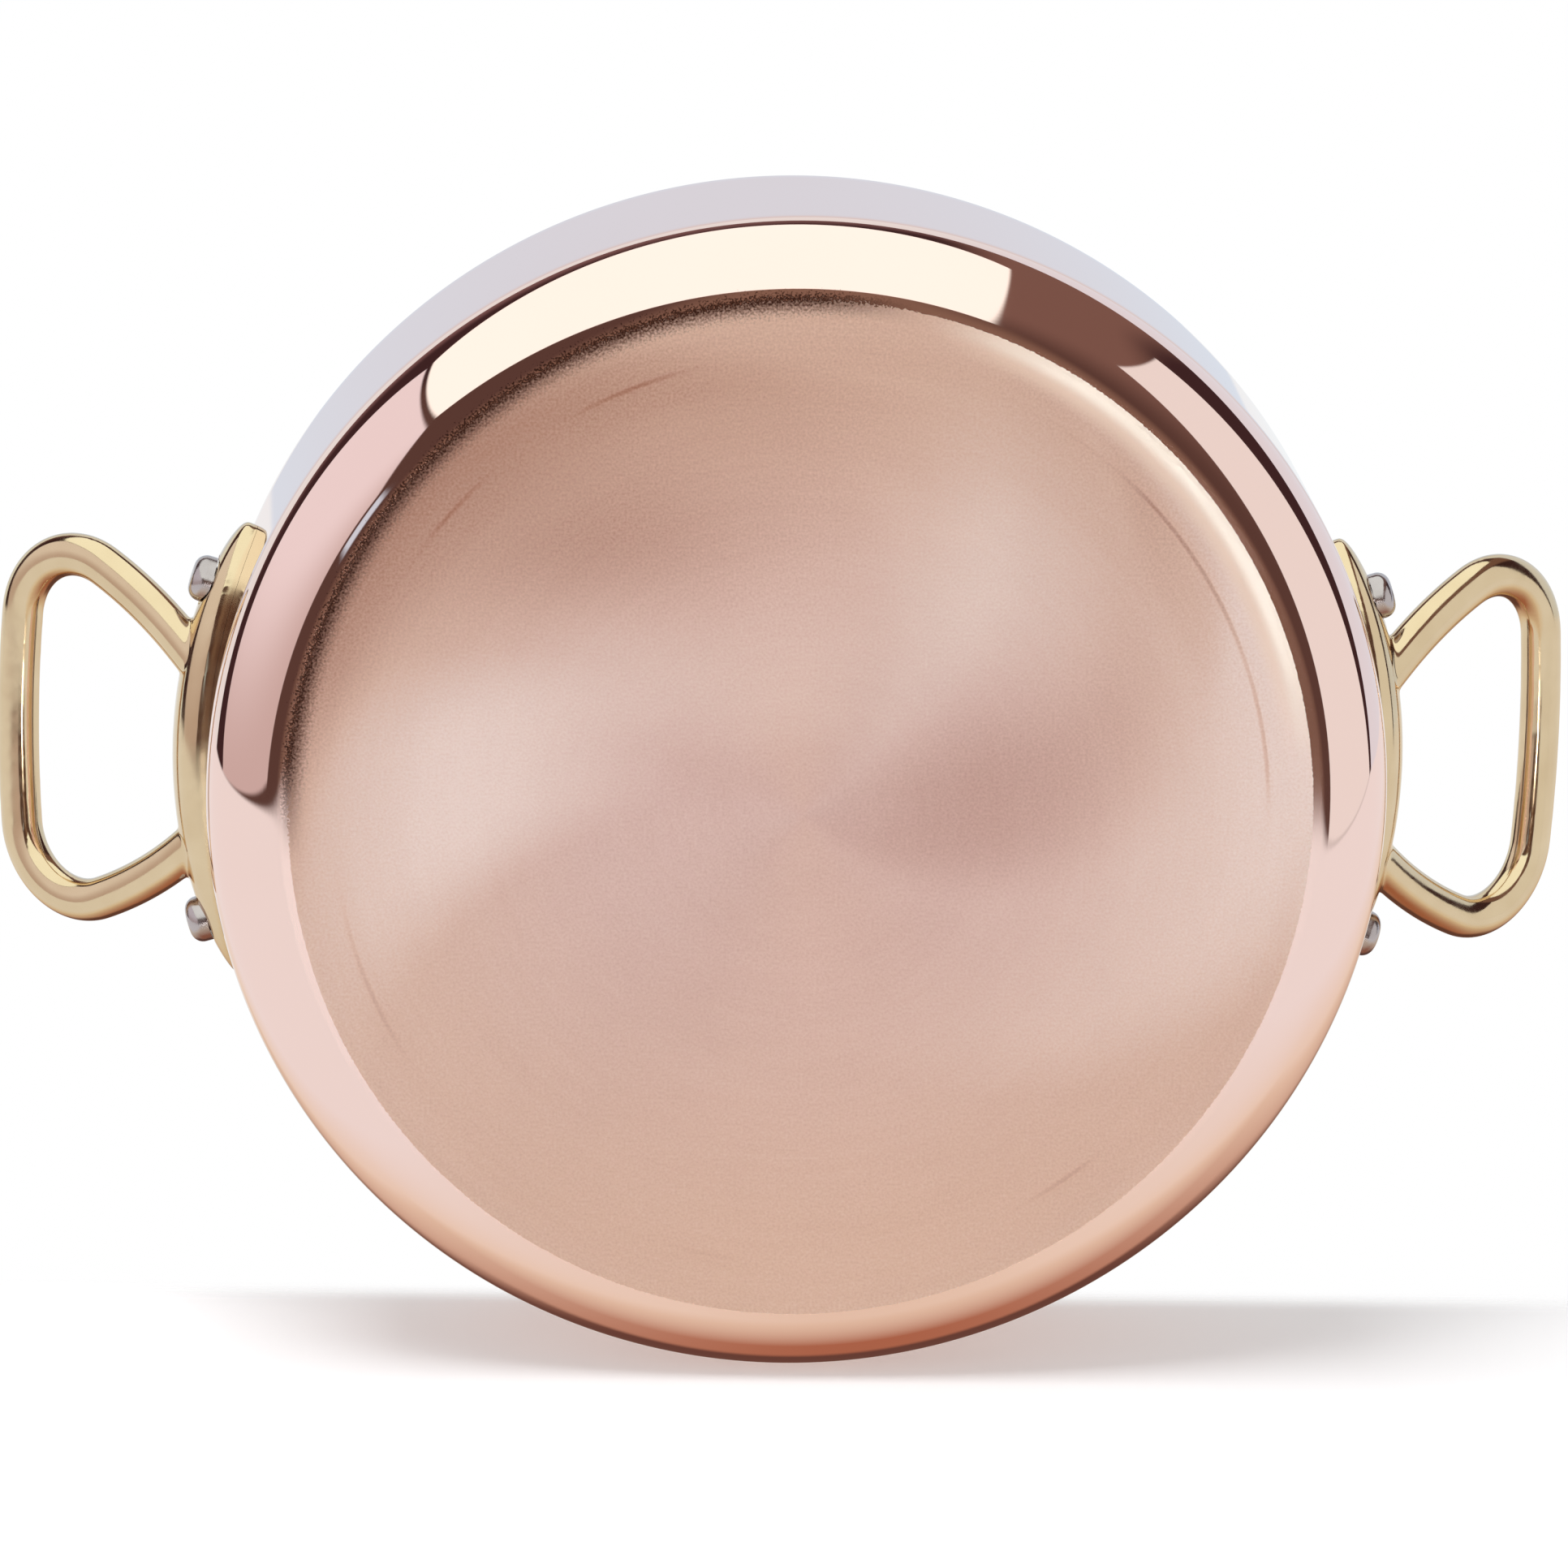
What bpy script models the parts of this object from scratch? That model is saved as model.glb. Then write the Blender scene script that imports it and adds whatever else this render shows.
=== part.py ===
"""Two-handled round copper pan, standing upright on its base.

Metres, +Z up. The origin is the middle of the base's underside, and the handles lie on +X and -X.
"""

from math import asin, atan2, cos, hypot, pi, radians, sin, sqrt

import bmesh
import bpy
from mathutils import Matrix, Vector

# Bowl: the copper shell and the steel lining bonded inside it
WALL_RADIUS = 0.100
PAN_HEIGHT = 0.0490
SHOULDER_RADIUS = 0.0120
COPPER_THICKNESS = 0.0016
LINING_THICKNESS = 0.0005
RIM_ROUNDING = 0.0005

# Room left between two pieces that touch
SEAT_GAP = 0.0003

# Handle plate: a crowned oval that lies on the wall, measured along the wall's curve
PLATE_LENGTH = 0.0810
PLATE_HEIGHT = 0.0160
PLATE_BELOW_RIM = 0.0014
PLATE_EDGE = 0.0016
PLATE_CROWN = 0.0061

# Handle loop: a flattened rod, narrow at its roots and wide outside, leaning up from the plate
ROD_WIDTH = 0.0072
ROD_THICKNESS = 0.0062
ROD_SWELL_AT_ROOT = 1.25
ROOT_SWELL_LENGTH = 0.0060
ROOT_DEPTH = 0.0042
LOOP_WIDTH = 0.0688
LOOP_REACH = 0.0360
LOOP_CORNER_RADIUS = 0.0098
LOOP_BAR_BOW = 0.0009
LOOP_RISE = radians(38.0)

# Rivets: a domed head outside, a shank through every layer and a closed head inside
RIVET_FROM_PLATE_END = 0.0115
RIVET_SHANK_RADIUS = 0.0024
RIVET_HEAD_RADIUS = 0.0040
RIVET_HEAD_HEIGHT = 0.0035
RIVET_HEAD_ROUNDING = 0.0022
CLOSED_HEAD_RADIUS = 0.0044
CLOSED_HEAD_HEIGHT = 0.0018
RIVET_SEAT_HEIGHT = 0.0038
RIVET_SEAT_MARGIN = 0.0006
RIVET_TO_LEG = 0.0018

# Facets
BOWL_SIDES = 80
SHOULDER_STEPS = 6
RIM_STEPS = 2
PLATE_SIDES = 40
CROWN_STEPS = 6
ROD_SIDES = 12
CORNER_STEPS = 7
BAR_STEPS = 4
RIVET_SIDES = 20
HEAD_STEPS = 3

# Shapes of outlines: 2 is an ellipse, and more is squarer
PLATE_SQUARENESS = 2.4
ROD_SQUARENESS = 2.8

# How far cutters and buried ends reach past the material
OVERSHOOT = 0.0020

# Points nearer than this are one point
WELD_DISTANCE = 0.00001


def clear_scene():
    for item in list(bpy.data.objects):
        bpy.data.objects.remove(item)


def metal(name, colour, roughness):
    material = bpy.data.materials.new(name)
    material.use_nodes = True
    shader = material.node_tree.nodes["Principled BSDF"]
    shader.inputs["Base Color"].default_value = (*colour, 1.0)
    shader.inputs["Roughness"].default_value = roughness
    shader.inputs["Metallic"].default_value = 1.0
    return material


def object_from(name, mesh):
    item = bpy.data.objects.new(name, mesh)
    bpy.context.scene.collection.objects.link(item)
    return item


def apply_modifiers(item):
    """Replace the object's mesh by its evaluated one, and drop the modifiers."""
    bpy.context.view_layer.update()
    graph = bpy.context.evaluated_depsgraph_get()
    mesh = bpy.data.meshes.new_from_object(item.evaluated_get(graph))
    item.modifiers.clear()
    item.data = mesh


def weld(mesh):
    """Merge the points that nearly coincide, and clear the slivers between them."""
    form = bmesh.new()
    form.from_mesh(mesh)
    bmesh.ops.remove_doubles(form, verts=form.verts, dist=WELD_DISTANCE)
    bmesh.ops.dissolve_degenerate(form, dist=WELD_DISTANCE, edges=form.edges)
    form.to_mesh(mesh)
    form.free()


def combine(target, other, operation):
    """Join the other solid to the target, or cut it away, and remove it."""
    other.hide_render = True
    other.display_type = "WIRE"
    boolean = target.modifiers.new(operation.lower(), "BOOLEAN")
    boolean.operation = operation
    boolean.solver = "EXACT"
    boolean.object = other
    apply_modifiers(target)
    weld(target.data)
    bpy.data.objects.remove(other)


def finish(item, material, sharp_angle=radians(35.0)):
    """Shade the round faces smooth, keep real edges sharp and give the piece its metal."""
    item.data.name = item.name
    item.data.materials.clear()
    item.data.materials.append(material)
    item.data.shade_smooth()
    item.data.set_sharp_from_angle(angle=sharp_angle)


def turned(name, profile, sides):
    """Solid turned round Z from (radius, height) points that run up the inside and down the outside."""
    mesh = bpy.data.meshes.new(name)
    points = [(radius, 0.0, height) for radius, height in profile]
    edges = [(index, index + 1) for index in range(len(points) - 1)]
    mesh.from_pydata(points, edges, [])
    item = object_from(name, mesh)
    screw = item.modifiers.new("turn", "SCREW")
    screw.steps = sides
    screw.render_steps = sides
    screw.use_merge_vertices = True
    screw.merge_threshold = 0.00005
    apply_modifiers(item)
    return item


def arc(centre, radius, start, end, steps):
    """Points of a circular arc, from the start angle to the end angle."""
    angles = [start + (end - start) * step / steps for step in range(steps + 1)]
    return [(centre[0] + radius * cos(angle), centre[1] + radius * sin(angle)) for angle in angles]


def superellipse(half_width, half_height, squareness, sides):
    """Points of a rounded oval outline, anticlockwise from +X."""
    points = []
    for side in range(sides):
        angle = 2 * pi * side / sides
        across, up = cos(angle), sin(angle)
        size = (abs(across) ** squareness + abs(up) ** squareness) ** (-1 / squareness)
        points.append((half_width * across * size, half_height * up * size))
    return points


def bowl_skin(inset):
    """Bowl surface lying this far inside the copper's outside, from the axis to the wall's foot."""
    centre = (WALL_RADIUS - SHOULDER_RADIUS, SHOULDER_RADIUS)
    shoulder = arc(centre, SHOULDER_RADIUS - inset, -pi / 2, 0.0, SHOULDER_STEPS)
    return [(0.0, inset)] + shoulder


def plate_centre_height():
    return PAN_HEIGHT - PLATE_BELOW_RIM - PLATE_HEIGHT / 2


def rivet_arc():
    """Distance of a rivet from the middle of its plate, along the wall."""
    return PLATE_LENGTH / 2 - RIVET_FROM_PLATE_END


def rivet_frame(side, end):
    """Frame on the wall's surface at one rivet, with Z pointing straight out of the pan."""
    across = end * rivet_arc() / WALL_RADIUS
    angle = across if side > 0 else pi - across
    out = Vector((cos(angle), sin(angle), 0.0))
    place = out * WALL_RADIUS + Vector((0.0, 0.0, plate_centre_height()))
    turn = out.to_track_quat("Z", "Y").to_matrix().to_4x4()
    return Matrix.Translation(place) @ turn


def rod_section(name, radius, low, high, frame):
    """Plain round bar along the frame's Z, between two heights."""
    bar = turned(name, [(0.0, high), (radius, high), (radius, low), (0.0, low)], RIVET_SIDES)
    bar.data.transform(frame)
    return bar


def cut_rivet_holes(target, sides):
    """Bore the target at the rivets of these sides, with room round the shank."""
    for side in sides:
        for end in (-1, 1):
            radius = RIVET_SHANK_RADIUS + SEAT_GAP
            hole = rod_section(
                "hole", radius, -lining_depth() - OVERSHOOT, PLATE_CROWN + OVERSHOOT, rivet_frame(side, end)
            )
            combine(target, hole, "DIFFERENCE")


def lining_depth():
    """Distance from the copper's outside to the lining's inside."""
    return COPPER_THICKNESS + SEAT_GAP + LINING_THICKNESS


def make_copper_shell(material):
    """Spun copper bowl with a flat base, a rounded shoulder, a straight wall and an eased rim."""
    inner_corner = (WALL_RADIUS - COPPER_THICKNESS + RIM_ROUNDING, PAN_HEIGHT - RIM_ROUNDING)
    outer_corner = (WALL_RADIUS - RIM_ROUNDING, PAN_HEIGHT - RIM_ROUNDING)
    profile = bowl_skin(COPPER_THICKNESS)
    profile += arc(inner_corner, RIM_ROUNDING, pi, pi / 2, RIM_STEPS)
    profile += arc(outer_corner, RIM_ROUNDING, pi / 2, 0.0, RIM_STEPS)
    profile += reversed(bowl_skin(0.0))
    shell = turned("copper_shell", profile, BOWL_SIDES)
    cut_rivet_holes(shell, (-1, 1))
    finish(shell, material)
    return shell


def make_steel_lining(material):
    """Thin steel bowl inside the copper, with the same shoulder and its edge level with the rim."""
    outside = bowl_skin(COPPER_THICKNESS + SEAT_GAP)
    inside = bowl_skin(lining_depth())
    profile = inside + [(inside[-1][0], PAN_HEIGHT), (outside[-1][0], PAN_HEIGHT)]
    profile += reversed(outside)
    lining = turned("steel_lining", profile, BOWL_SIDES)
    cut_rivet_holes(lining, (-1, 1))
    finish(lining, material)
    return lining


def on_wall(along, up, out):
    """Point at this distance along the wall's curve, above the plate's middle and out from the wall."""
    radius = WALL_RADIUS + out
    angle = along / WALL_RADIUS
    return Vector((radius * cos(angle), radius * sin(angle), plate_centre_height() + up))


def make_plate():
    """Crowned oval wrapped on the wall: its outline is extruded out, then drawn in and domed."""
    outline = superellipse(PLATE_LENGTH / 2, PLATE_HEIGHT / 2, PLATE_SQUARENESS, PLATE_SIDES)
    levels = [(1.0, -OVERSHOOT), (1.0, PLATE_EDGE)]
    for step in range(1, CROWN_STEPS):
        angle = pi / 2 * step / CROWN_STEPS
        levels.append((cos(angle), PLATE_EDGE + (PLATE_CROWN - PLATE_EDGE) * sin(angle)))

    form = bmesh.new()
    rings = []
    for shrink, out in levels:
        rings.append([form.verts.new(on_wall(x * shrink, y * shrink, out)) for x, y in outline])
    for lower, upper in zip(rings, rings[1:]):
        for index in range(PLATE_SIDES):
            after = (index + 1) % PLATE_SIDES
            form.faces.new((lower[index], lower[after], upper[after], upper[index]))
    top = form.verts.new(on_wall(0.0, 0.0, PLATE_CROWN))
    back = form.verts.new(on_wall(0.0, 0.0, -OVERSHOOT))
    for index in range(PLATE_SIDES):
        after = (index + 1) % PLATE_SIDES
        form.faces.new((rings[-1][index], rings[-1][after], top))
        form.faces.new((rings[0][after], rings[0][index], back))
    bmesh.ops.recalc_face_normals(form, faces=form.faces)
    mesh = bpy.data.meshes.new("plate")
    form.to_mesh(mesh)
    form.free()
    return object_from("plate", mesh)


def loop_path():
    """Middle line of the loop in its own plane: (out from the root line, across, swell)."""
    bar = LOOP_REACH
    corner = LOOP_CORNER_RADIUS
    half_width = LOOP_WIDTH / 2 - ROD_WIDTH / 2
    root_across = rivet_arc() - RIVET_HEAD_RADIUS - RIVET_TO_LEG - ROD_WIDTH * ROD_SWELL_AT_ROOT / 2
    centre = (bar - corner, half_width - corner)

    # The leg runs from the root and just touches the corner's circle.
    spread = centre[1] - root_across
    distance = hypot(centre[0], spread)
    lean = atan2(spread, centre[0]) + asin(corner / distance)

    def on_leg(length):
        return (length * cos(lean), root_across + length * sin(lean))

    half = [(*on_leg(-ROOT_DEPTH), ROD_SWELL_AT_ROOT), (*on_leg(0.0), ROD_SWELL_AT_ROOT)]
    half.append((*on_leg(ROOT_SWELL_LENGTH / 2), 1 + (ROD_SWELL_AT_ROOT - 1) / 4))
    half.append((*on_leg(ROOT_SWELL_LENGTH), 1.0))
    for x, y in arc(centre, corner, lean + pi / 2, 0.0, CORNER_STEPS):
        half.append((x, y, 1.0))
    for step in range(1, BAR_STEPS // 2 + 1):
        share = 1 - 2 * step / BAR_STEPS
        half.append((bar + LOOP_BAR_BOW * (1 - share**2), centre[1] * share, 1.0))
    other_half = [(x, -y, swell) for x, y, swell in reversed(half[:-1])]
    return half + other_half


def make_loop():
    """Flattened rod swept along the loop's line, then leaned up from the plate."""
    section = bpy.data.curves.new("rod_section", "CURVE")
    outline = section.splines.new("POLY")
    outline.points.add(ROD_SIDES - 1)
    corners = superellipse(ROD_WIDTH / 2, ROD_THICKNESS / 2, ROD_SQUARENESS, ROD_SIDES)
    for point, (x, y) in zip(outline.points, corners):
        point.co = (x, y, 0.0, 1.0)
    outline.use_cyclic_u = True
    section_guide = object_from("rod_section", section)
    section_guide.hide_render = True

    sweep = bpy.data.curves.new("loop", "CURVE")
    sweep.dimensions = "3D"
    sweep.twist_mode = "Z_UP"
    sweep.bevel_mode = "OBJECT"
    sweep.bevel_object = section_guide
    sweep.use_fill_caps = True
    line = sweep.splines.new("POLY")
    path = loop_path()
    line.points.add(len(path) - 1)
    for point, (x, y, swell) in zip(line.points, path):
        point.co = (x, y, 0.0, 1.0)
        point.radius = swell
    guide = object_from("loop_guide", sweep)

    bpy.context.view_layer.update()
    graph = bpy.context.evaluated_depsgraph_get()
    mesh = bpy.data.meshes.new_from_object(guide.evaluated_get(graph))
    bpy.data.objects.remove(guide)
    bpy.data.objects.remove(section_guide)

    weld(mesh)
    form = bmesh.new()
    form.from_mesh(mesh)
    bmesh.ops.recalc_face_normals(form, faces=form.faces)
    form.to_mesh(mesh)
    form.free()
    root = Matrix.Translation((WALL_RADIUS + ROOT_DEPTH, 0.0, plate_centre_height()))
    mesh.transform(root @ Matrix.Rotation(-LOOP_RISE, 4, "Y"))
    return object_from("loop", mesh)


def make_right_handle(material):
    """Brass casting: plate with two flat rivet seats and a loop, hollowed behind to fit the wall."""
    handle = make_plate()
    handle.name = "right_handle"
    seat_radius = RIVET_HEAD_RADIUS + RIVET_SEAT_MARGIN
    for end in (-1, 1):
        high = PLATE_CROWN + OVERSHOOT
        spot_face = rod_section("spot_face", seat_radius, RIVET_SEAT_HEIGHT, high, rivet_frame(1, end))
        combine(handle, spot_face, "DIFFERENCE")
    combine(handle, make_loop(), "UNION")

    back = WALL_RADIUS + SEAT_GAP
    low = plate_centre_height() - PLATE_HEIGHT
    high = plate_centre_height() + PLATE_HEIGHT
    wall = turned("wall", [(0.0, high), (back, high), (back, low), (0.0, low)], BOWL_SIDES)
    combine(handle, wall, "DIFFERENCE")
    cut_rivet_holes(handle, (1,))
    finish(handle, material)
    return handle


def make_left_handle(right_handle):
    """The same casting, turned half round the pan."""
    handle = object_from("left_handle", right_handle.data)
    handle.rotation_euler = (0.0, 0.0, pi)
    return handle


def closed_head_seat():
    """Depth below the wall's outside at which a flat face clears the lining's hollow curve."""
    inside = WALL_RADIUS - lining_depth()
    flat_of_facet = inside * (1 - cos(pi / BOWL_SIDES))
    nearest = sqrt(inside**2 - CLOSED_HEAD_RADIUS**2) - flat_of_facet
    return WALL_RADIUS - nearest + SEAT_GAP


def make_rivets(material):
    """Steel rivets, alike: each stands in the wall with its axis straight out of the pan."""
    under_head = RIVET_SEAT_HEIGHT + SEAT_GAP
    top = under_head + RIVET_HEAD_HEIGHT
    rounding = RIVET_HEAD_ROUNDING
    closed_seat = -closed_head_seat()
    closed_top = closed_seat - CLOSED_HEAD_HEIGHT
    profile = [(0.0, top)]
    shoulder = (RIVET_HEAD_RADIUS - rounding, top - rounding)
    profile += arc(shoulder, rounding, pi / 2, 0.0, HEAD_STEPS)
    profile += [(RIVET_HEAD_RADIUS, under_head), (RIVET_SHANK_RADIUS, under_head)]
    profile += [(RIVET_SHANK_RADIUS, closed_seat)]
    for step in range(HEAD_STEPS + 1):
        angle = pi / 2 * step / (HEAD_STEPS + 1)
        profile.append((CLOSED_HEAD_RADIUS * cos(angle), closed_seat - CLOSED_HEAD_HEIGHT * sin(angle)))
    profile.append((0.0, closed_top))

    first = turned("left_front_rivet", profile, RIVET_SIDES)
    finish(first, material)
    places = {
        "left_front_rivet": (-1, -1),
        "left_back_rivet": (-1, 1),
        "right_front_rivet": (1, -1),
        "right_back_rivet": (1, 1),
    }
    for name, (side, end) in places.items():
        rivet = first if name == first.name else object_from(name, first.data)
        rivet.matrix_world = rivet_frame(side, end)


def main():
    clear_scene()
    copper = metal("copper", (0.86, 0.56, 0.44), 0.16)
    steel = metal("steel", (0.62, 0.61, 0.60), 0.24)
    brass = metal("brass", (0.80, 0.62, 0.32), 0.18)
    make_copper_shell(copper)
    make_steel_lining(steel)
    right_handle = make_right_handle(brass)
    make_left_handle(right_handle)
    make_rivets(steel)


main()
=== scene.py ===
"""Two-handled round copper pan: the looks of its pieces, and the studio that it stands in.

Metres, +Z up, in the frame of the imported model. The origin is the middle of the base's
underside, and the handles lie on +X and -X.
"""

from math import acos, atan, atan2, cos, hypot, pi, radians, sin

import bmesh
import bpy
from mathutils import Matrix, Vector


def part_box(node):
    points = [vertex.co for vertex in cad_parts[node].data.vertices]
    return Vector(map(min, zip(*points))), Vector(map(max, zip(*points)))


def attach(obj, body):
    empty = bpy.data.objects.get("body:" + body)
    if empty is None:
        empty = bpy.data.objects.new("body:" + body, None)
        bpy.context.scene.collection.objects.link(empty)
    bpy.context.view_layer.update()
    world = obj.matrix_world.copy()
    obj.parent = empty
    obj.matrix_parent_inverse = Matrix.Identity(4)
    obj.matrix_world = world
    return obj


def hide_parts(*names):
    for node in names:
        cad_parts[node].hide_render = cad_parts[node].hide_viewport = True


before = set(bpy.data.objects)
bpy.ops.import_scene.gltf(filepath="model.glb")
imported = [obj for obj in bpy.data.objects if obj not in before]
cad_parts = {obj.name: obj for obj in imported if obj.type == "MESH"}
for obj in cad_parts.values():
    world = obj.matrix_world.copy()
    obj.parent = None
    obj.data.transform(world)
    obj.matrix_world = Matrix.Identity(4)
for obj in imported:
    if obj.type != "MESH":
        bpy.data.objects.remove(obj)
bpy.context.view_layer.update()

# Copper bowl
# One sheet of copper, spun over a former into a flat base, a round shoulder and a straight
# wall. The base is brushed in circles as it turns, the rest is buffed until it mirrors, and
# the wall is bored for the rivets that hold the handles.
bowl_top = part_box("copper_shell")[1]
WALL_RADIUS = bowl_top[0]
PAN_HEIGHT = bowl_top[2]
SHOULDER_RADIUS = 0.0122
COPPER_THICKNESS = 0.0016
RIM_ROUNDING = 0.0005
BOWL_SIDES = 288
SHOULDER_STEPS = 32
RIM_STEPS = 6

# Where the handles' plates and rivets go, for the holes in the wall
PLATE_BELOW_RIM = 0.0014
PLATE_HEIGHT = 0.0160
PLATE_LENGTH = 0.0810
RIVET_FROM_PLATE_END = 0.0115
RIVET_SHANK_RADIUS = 0.0024
RIVET_CLEARANCE = 0.0002
HOLE_INWARD = 0.006
HOLE_OUTWARD = 0.004
HOLE_SIDES = 48

# Spare rows of edges that keep the base and the wall flat in the light
SUPPORT = 0.0004
WALL_RING = 0.4 * PLATE_HEIGHT

# Slack in picking faces and edges by their place, and how level a level face's normal is
NEAR = 0.00001
LEVEL = 0.9
SMOOTH_ANGLE = radians(34.0)

plate_middle = PAN_HEIGHT - PLATE_BELOW_RIM - PLATE_HEIGHT / 2
rivet_angle = (PLATE_LENGTH / 2 - RIVET_FROM_PLATE_END) / WALL_RADIUS
rivet_places = {
    "left_front_rivet": (-1, -1),
    "left_back_rivet": (-1, 1),
    "right_front_rivet": (1, -1),
    "right_back_rivet": (1, 1),
}


def start_piece(name):
    """Name the primitive that was just added, and bring its place into its mesh."""
    piece = bpy.context.object
    piece.name = name
    piece.data.name = name
    bpy.ops.object.transform_apply(location=True, rotation=True, scale=True)
    return piece


def pick(piece, kind, wanted):
    """In edit mode, select only the faces or edges that the test accepts."""
    bpy.ops.mesh.select_mode(type=kind)
    bpy.ops.mesh.select_all(action="DESELECT")
    form = bmesh.from_edit_mesh(piece.data)
    if kind == "FACE":
        for face in form.faces:
            face.select_set(wanted(face.calc_center_median(), face.normal))
    else:
        for edge in form.edges:
            edge.select_set(wanted(edge.verts[0].co, edge.verts[1].co))
    bmesh.update_edit_mesh(piece.data)


def ring_round(heights):
    """In edit mode, cut a level ring of edges round the piece at each height."""
    for height in heights:
        bpy.ops.mesh.select_all(action="SELECT")
        bpy.ops.mesh.bisect(plane_co=(0.0, 0.0, height), plane_no=(0.0, 0.0, 1.0))


def apply_modifier(piece, kind, **settings):
    """Add a modifier, set it and apply it."""
    bpy.ops.object.select_all(action="DESELECT")
    piece.select_set(True)
    bpy.context.view_layer.objects.active = piece
    change = piece.modifiers.new(kind.lower(), kind)
    for name, value in settings.items():
        setattr(change, name, value)
    bpy.ops.object.modifier_apply(modifier=change.name)


def combine(piece, tool, operation, solver="EXACT"):
    """Cut the tool's shape out of the piece, or join it on, and take the tool away."""
    apply_modifier(piece, "BOOLEAN", operation=operation, solver=solver, object=tool)
    bpy.data.objects.remove(tool)


def rivet_frame(side, end):
    """Frame on the wall at one rivet, with Z pointing straight out of the pan."""
    angle = end * rivet_angle if side > 0 else pi - end * rivet_angle
    out = Vector((cos(angle), sin(angle), 0.0))
    turn = out.to_track_quat("Z", "Y").to_matrix().to_4x4()
    return Matrix.Translation(out * WALL_RADIUS + Vector((0.0, 0.0, plate_middle))) @ turn


def round_bar(name, radius, low, high, place, sides=HOLE_SIDES):
    """Plain bar along the frame's Z, between two heights, used as a cutter."""
    bpy.ops.object.select_all(action="DESELECT")
    bpy.ops.mesh.primitive_cylinder_add(
        vertices=sides, radius=radius, depth=high - low, location=(0.0, 0.0, (low + high) / 2)
    )
    bar = start_piece(name)
    bar.data.transform(place)
    return bar


def spun_pan(name, radius, base_height, shoulder, thickness, rounding):
    """Bowl of even thickness, open at the top, spun from a round blank and bored for rivets."""
    bpy.ops.object.select_all(action="DESELECT")
    bpy.ops.mesh.primitive_cylinder_add(
        vertices=BOWL_SIDES,
        radius=radius,
        depth=PAN_HEIGHT - base_height,
        location=(0.0, 0.0, (PAN_HEIGHT + base_height) / 2),
    )
    bowl = start_piece(name)
    bpy.ops.object.mode_set(mode="EDIT")
    pick(bowl, "FACE", lambda middle, normal: normal.z > LEVEL)
    bpy.ops.mesh.delete(type="FACE")
    pick(bowl, "EDGE", lambda a, b: max(a.z, b.z) < base_height + NEAR)
    bpy.ops.mesh.bevel(offset=shoulder, segments=SHOULDER_STEPS, affect="EDGES", clamp_overlap=False)
    pick(bowl, "FACE", lambda middle, normal: normal.z < -LEVEL and middle.xy.length < radius / 2)
    bpy.ops.mesh.inset(thickness=SUPPORT)
    above_shoulder = base_height + shoulder + SUPPORT
    ring_round((above_shoulder, plate_middle - WALL_RING, plate_middle + WALL_RING))
    bpy.ops.object.mode_set(mode="OBJECT")

    apply_modifier(bowl, "SOLIDIFY", thickness=thickness, offset=-1.0, use_even_offset=True)
    bpy.ops.object.mode_set(mode="EDIT")
    top = PAN_HEIGHT - NEAR
    pick(bowl, "EDGE", lambda a, b: min(a.z, b.z) > top and abs(a.xy.length - b.xy.length) < NEAR)
    bpy.ops.mesh.bevel(offset=rounding, segments=RIM_STEPS, affect="EDGES", clamp_overlap=False)
    bpy.ops.object.mode_set(mode="OBJECT")

    for side, end in rivet_places.values():
        hole_radius = RIVET_SHANK_RADIUS + RIVET_CLEARANCE
        hole = round_bar("hole", hole_radius, -HOLE_INWARD, HOLE_OUTWARD, rivet_frame(side, end))
        combine(bowl, hole, "DIFFERENCE")
    bpy.ops.object.shade_smooth_by_angle(angle=SMOOTH_ANGLE)
    return bowl


def heading(turn, lift=0.0):
    """Direction, from its turn round the pan's axis and its lift above level, in degrees."""
    level = cos(radians(lift))
    return (level * cos(radians(turn)), level * sin(radians(turn)), sin(radians(lift)))


def grow(tree, kind, wires, **settings):
    """Add a node to a material, say what it is, and wire or set what goes into it."""
    part = tree.nodes.new(kind)
    for name, value in settings.items():
        setattr(part, name, value)
    for socket, value in wires.items():
        if isinstance(value, bpy.types.NodeSocket):
            tree.links.new(value, part.inputs[socket])
        else:
            part.inputs[socket].default_value = value
    return part


def maths(tree, operation, *values):
    """One sum on numbers, given as sockets or plain values."""
    return grow(tree, "ShaderNodeMath", dict(enumerate(values)), operation=operation).outputs[0]


def vector_maths(tree, operation, output, *values):
    """One sum on vectors, given as sockets or plain values."""
    return grow(tree, "ShaderNodeVectorMath", dict(enumerate(values)), operation=operation).outputs[output]


def along(tree, vector, towards):
    """How far a vector reaches along a direction."""
    return vector_maths(tree, "DOT_PRODUCT", "Value", vector, towards)


def fade(tree, value, start, end, low=0.0, high=1.0, shape="SMOOTHSTEP"):
    """Step of a value, from low at the start to high at the end."""
    wires = {"Value": value, "From Min": start, "From Max": end, "To Min": low, "To Max": high}
    return grow(tree, "ShaderNodeMapRange", wires, interpolation_type=shape).outputs["Result"]


def blend_colours(tree, share, first, second):
    """Colour between two others."""
    mix = grow(tree, "ShaderNodeMix", {}, data_type="RGBA")
    for socket, value in ((0, share), (6, first), (7, second)):
        if isinstance(value, bpy.types.NodeSocket):
            tree.links.new(value, mix.inputs[socket])
        elif isinstance(value, tuple):
            mix.inputs[socket].default_value = (*value, 1.0)
        else:
            mix.inputs[socket].default_value = value
    return mix.outputs[2]


def patches(tree, place, size, detail=2.0):
    """Soft cloudy pattern from 0 to 1, with patches of about this size in metres."""
    wires = {"Vector": place, "Scale": 1.0 / size, "Detail": detail}
    return grow(tree, "ShaderNodeTexNoise", wires).outputs["Fac"]


# The part of a cloudy pattern's range that it mostly keeps to
PATCHES_LOW = 0.3
PATCHES_HIGH = 0.7


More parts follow.
